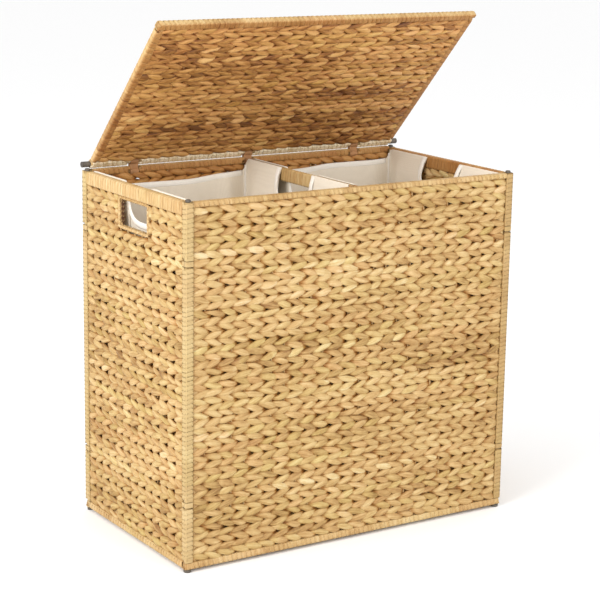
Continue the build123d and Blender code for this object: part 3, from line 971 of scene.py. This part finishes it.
def notch_edge(bag, angle):
    """Places along a notch from one ear to the other: how far across, and how high."""
    across = -bag.ear_start * signed_power(np.cos(angle), 2 / notch_squareness)
    height = bag.ear - (bag.ear - bag.notch) * signed_power(np.sin(angle), 2 / notch_squareness)
    return across, height


def bag_outline(bag):
    """Columns round a bag: place in plan, outward normal, top height and kind of wall."""
    columns = []
    straight_long, straight_short = bag.half_long - bag_corner, bag.half_short - bag_corner
    ear_columns, notch_columns, wall_columns, corner_columns = 18, 40, 64, 7
    notch_across, notch_height = notch_edge(bag, np.linspace(0, np.pi, notch_columns))
    ear_tops = np.full(ear_columns, bag.ear)
    for quarter in range(4):
        turn = quarter * np.pi / 2
        normal = np.array([math.cos(turn), math.sin(turn)]).round()
        tangent = np.array([-normal[1], normal[0]])
        if quarter % 2 == 0:
            ear = np.linspace(-straight_short, -bag.ear_start, ear_columns)
            places = np.concatenate([ear, notch_across[1:-1], -ear[::-1]])
            tops = np.concatenate([ear_tops, notch_height[1:-1], ear_tops])
            reach, kind, ends = bag.half_long, 1, (bag.ear, bag.hem)
        else:
            places = np.linspace(-straight_long, straight_long, wall_columns)
            tops = np.full(wall_columns, bag.hem)
            reach, kind, ends = bag.half_short, 0, (bag.hem, bag.ear)
        for place, top in zip(places, tops):
            columns.append((*(normal * reach + tangent * place), *normal, top, kind))
        middle = np.sign(normal + tangent) * (straight_long, straight_short)
        for share in np.linspace(0, 1, corner_columns + 2)[1:-1]:
            angle = turn + share * np.pi / 2
            facing = np.array([math.cos(angle), math.sin(angle)])
            top = ends[0] + (ends[1] - ends[0]) * float(smooth_step(0, 1, share))
            columns.append((*(middle + bag_corner * facing), *facing, top, 2))
    return np.array(columns)


def grid_faces(rows, columns, start, closed):
    """Quads of a grid of points, row by row."""
    row = np.arange(rows - 1)[:, None, None] + np.array([0, 0, 1, 1])
    column = np.arange(columns if closed else columns - 1)[None, :, None] + np.array([0, 1, 1, 0])
    return (start + row * columns + column % columns).reshape(-1, 4).tolist()


def bag_walls(bag, outer_stand_off, outer_ear_drop, rng):
    """Points of a bag's walls, row by row from the floor up; short walls stand off below their rails."""
    columns = bag_outline(bag)
    plan, facing, top, kind = columns[:, :2], columns[:, 2:4], columns[:, 4], columns[:, 5]
    outer_side = facing[:, 0] * bag.middle > 0
    way = way_along(plan)
    edge_gap = bag.half_long - np.abs(plan[:, 0]) + bag.half_short - np.abs(plan[:, 1])
    off_corner = smooth_step(*corner_ease, edge_gap)
    round_span, high_span = (0, way[-1]), (bag.floor, bag.ear)
    hem_drop = hem_sag * SmoothNoise(rng, round_span, (0, 0), hem_wave, 1.0).at(way, 0 * way) * (kind == 0)
    top = top - hem_drop * smooth_step(0, hem_ease, edge_gap)
    top = np.where(outer_side, np.minimum(top, bag.ear - outer_ear_drop), top)
    shares = np.linspace(0, 1, bag_rows)
    height = bag.floor + shares[:, None] * (top - bag.floor)[None, :]
    ways = np.broadcast_to(way, height.shape)
    folds = np.zeros(height.shape)
    for share, wide, tall in bag_folds:
        fold = SmoothNoise(rng, round_span, high_span, wide, tall)
        folds = folds + share * bag_wrinkle * fold.at(ways, height)
    in_notch = (kind == 1) & (np.abs(plan[:, 1]) < bag.ear_start)
    rail_height = top + (bag.ear - bag.notch) * in_notch
    slack = end_slack * smooth_step(0, fold_drop, rail_height - height) + side_slack * (kind == 0)
    folds = folds * slack * off_corner
    low = np.clip(1 - (height - bag.floor) / bag_foot_round, 0, 1)
    folds = folds + bag_foot_round * (1 - np.sqrt(1 - low**2))
    stand_off = np.where(outer_side, outer_stand_off, inner_stand_off) * (kind == 1) * off_corner
    stand_off = stand_off * smooth_step(0, stand_off_drop, bag.ear - height)
    inset = folds + cloth_depth + stand_off
    flat = plan[None, :, :] - inset[..., None] * facing[None, :, :]
    points = np.stack([bag.middle + flat[..., 0], flat[..., 1], height], -1)
    return points, facing, kind


def bag_floor(bag, rim, rng):
    """Rings of points from the foot of a bag's walls to the middle of its rippled floor."""
    middle = np.array([bag.middle, 0, bag.floor])
    rings = middle + np.linspace(1, 0, floor_rings)[:, None, None] * (rim - middle)[None]
    spans = [(rim[:, axis].min(), rim[:, axis].max()) for axis in (0, 1)]
    ripples = SmoothNoise(rng, *spans, floor_ripple_size, floor_ripple_size)
    rings[..., 2] = bag.floor + cloth_depth + floor_ripple * ripples.at(rings[..., 0], rings[..., 1])
    rings[0] = rim
    return rings


def bag_flaps(bag, top_row, facing, kind, outer_ear_drop):
    """Rows of points from the tops of a bag's four ears outwards: over a rail, or only up to it."""
    ears = (kind == 1) & (np.abs(top_row[:, 1]) > bag.ear_start - tolerance)
    shares = np.linspace(0, 1, flap_rows)[:, None]
    flaps = []
    for sign_long in (-1, 1):
        over_rail = sign_long * bag.middle > 0 and outer_ear_drop == 0
        reach = flap_reach if over_rail else tuck_reach
        for sign_short in (-1, 1):
            side = (np.sign(facing[:, 0]) == sign_long) & (np.sign(top_row[:, 1]) == sign_short)
            flap = np.tile(top_row[ears & side], (flap_rows, 1, 1))
            flap[..., 0] += sign_long * (cloth_depth + reach) * shares
            flap[..., 2] += flap_crown * np.sin(shares * np.pi)
            flaps.append(flap)
    return flaps


def make_bag(name, node, outer_stand_off, outer_ear_drop, seed):
    """A cloth bag: wrinkled walls and floor, flaps at the tops of its ears, and bound edges."""
    rng = np.random.default_rng(seed)
    bag = bag_of(node)
    walls_points, facing, kind = bag_walls(bag, outer_stand_off, outer_ear_drop, rng)
    rounds = [walls_points, bag_floor(bag, walls_points[0], rng)]
    flaps = bag_flaps(bag, walls_points[-1], facing, kind, outer_ear_drop)
    points, faces, total = [], [], 0
    for index, grid in enumerate(rounds + flaps):
        rows, columns = grid.shape[:2]
        points.append(grid.reshape(-1, 3))
        faces += grid_faces(rows, columns, total, closed=index < len(rounds))
        total += rows * columns
    mesh = bpy.data.meshes.new(name)
    mesh.from_pydata(np.concatenate(points).tolist(), [], faces)
    work = bmesh.new()
    work.from_mesh(mesh)
    bmesh.ops.remove_doubles(work, verts=work.verts, dist=weld_gap)
    bmesh.ops.recalc_face_normals(work, faces=work.faces)
    work.to_mesh(mesh)
    work.free()
    mesh.polygons.foreach_set("use_smooth", np.ones(len(mesh.polygons), bool))
    mesh.materials.append(bag_cloth)
    piece = new_object(name, mesh)
    thickness = piece.modifiers.new("cloth", "SOLIDIFY")
    thickness.thickness = cloth_depth
    thickness.offset = 0.0
    finish_piece(piece, "hamper", "liner_cloth", node)
    binding = bind_bag(f"{name}_binding", bag, walls_points, facing, kind)
    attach(binding, "hamper")


def bind_bag(name, bag, walls_points, facing, kind):
    """Bindings along a bag's hems and round its notches, and a seam up each corner."""
    strands = Strands(strip_sides, roundness=1.0)
    top_row = walls_points[-1]
    for sign in (-1, 1):
        hem = (kind == 0) & (np.sign(facing[:, 1]) == sign)
        centre = top_row[hem] - np.array([0, 0, binding_half_width - MM])
        out = np.column_stack([facing[hem], np.zeros(hem.sum())])
        strands.add(centre, out, binding_half_width, binding_half_depth, way_along(centre))
        notch = (kind == 1) & (np.sign(facing[:, 0]) == sign)
        notch = notch & (np.abs(top_row[:, 1]) < bag.ear_start + tolerance)
        edge = top_row[notch]
        edge = edge[np.argsort(edge[:, 1])]
        tangent = unit(np.gradient(edge[:, 1:], axis=0))
        inward = np.stack([tangent[:, 1], -tangent[:, 0]], -1)
        centre = np.column_stack([edge[:, 0], edge[:, 1:] + inward * (binding_half_width - MM)])
        out = np.tile([sign, 0.0, 0.0], (len(centre), 1))
        strands.add(centre, out, binding_half_width, binding_half_depth, way_along(centre))
    for corner in np.flatnonzero((kind == 2) & (np.abs(np.abs(facing[:, 0]) - math.sqrt(0.5)) < 0.01)):
        centre = walls_points[2:, corner] - np.append(facing[corner], 0) * seam_half_width / 2
        out = np.tile(np.append(facing[corner], 0), (len(centre), 1))
        strands.add(centre, out, seam_half_width, seam_half_width / 2, centre[:, 2])
    return strands.make(name, binding_cloth)


make_bag("left_bag", "left_liner", left_stand_off, 0.0, seed=51)
make_bag("right_bag", "right_liner", right_stand_off, right_ear_drop, seed=52)

# Wires, pins and caps keep their solids
finishes = {
    tan_wire: [*(f"{name}_frame" for name in walls), "base_frame", "crossbar_rod"],
    brown_wire: ["lid_frame", "hinge_loops", "crossbar_brackets"],
    dark_cap: [*(f"{corner}_pin" for corner in corners), "feet", "hinge_caps"],
}
for material, nodes in finishes.items():
    for node in nodes:
        solid = frame["nodes"][node]
        solid.data.materials.clear()
        solid.data.materials.append(material)

# Floor, light and camera
floor_reach = 60
floor_mesh = bpy.data.meshes.new("floor")
floor_corners = [(x * floor_reach, y * floor_reach, 0) for x, y in ((-1, -1), (1, -1), (1, 1), (-1, 1))]
floor_mesh.from_pydata(floor_corners, [], [(0, 1, 2, 3)])
floor = new_object("floor", floor_mesh)
floor_paint, floor_tree, floor_shader = new_material("floor_paint")
feed(floor_tree, floor_shader, {"Base Color": (0.92, 0.92, 0.92, 1), "Roughness": 0.9})
floor_mesh.materials.append(floor_paint)

world = bpy.data.worlds.new("studio")
bpy.context.scene.world = world
world.use_nodes = True
background = world.node_tree.nodes["Background"]
feed(world.node_tree, background, {"Color": (1, 1, 1, 1), "Strength": 1.05})


def soft_light(name, place, target, size, power):
    """A square soft box that looks at a point."""
    light = bpy.data.lights.new(name, "AREA")
    light.size = size
    light.energy = power
    lamp = new_object(name, light)
    lamp.location = place
    lamp.rotation_euler = (Vector(target) - Vector(place)).to_track_quat("-Z", "Y").to_euler()


light_target = (0, 0, 0.4)
soft_light("key", (-3.6, -0.9, 2.2), light_target, size=2.2, power=118)
soft_light("front", (0.8, -3.6, 1.7), light_target, size=2.2, power=50)

camera_data = bpy.data.cameras.new("camera")
camera_data.sensor_width = sensor_width
camera_data.lens = sensor_width * focal_pixels / frame_pixels
camera = new_object("camera", camera_data)
level_turn = Euler((math.pi / 2 - camera_pitch, 0, -camera_yaw)).to_matrix()
camera_turn = level_turn @ Matrix.Rotation(camera_roll, 3, "Z")
camera.matrix_world = Matrix.Translation(camera_place) @ camera_turn.to_4x4()
bpy.context.scene.camera = camera
bpy.context.scene.view_settings.view_transform = "Standard"
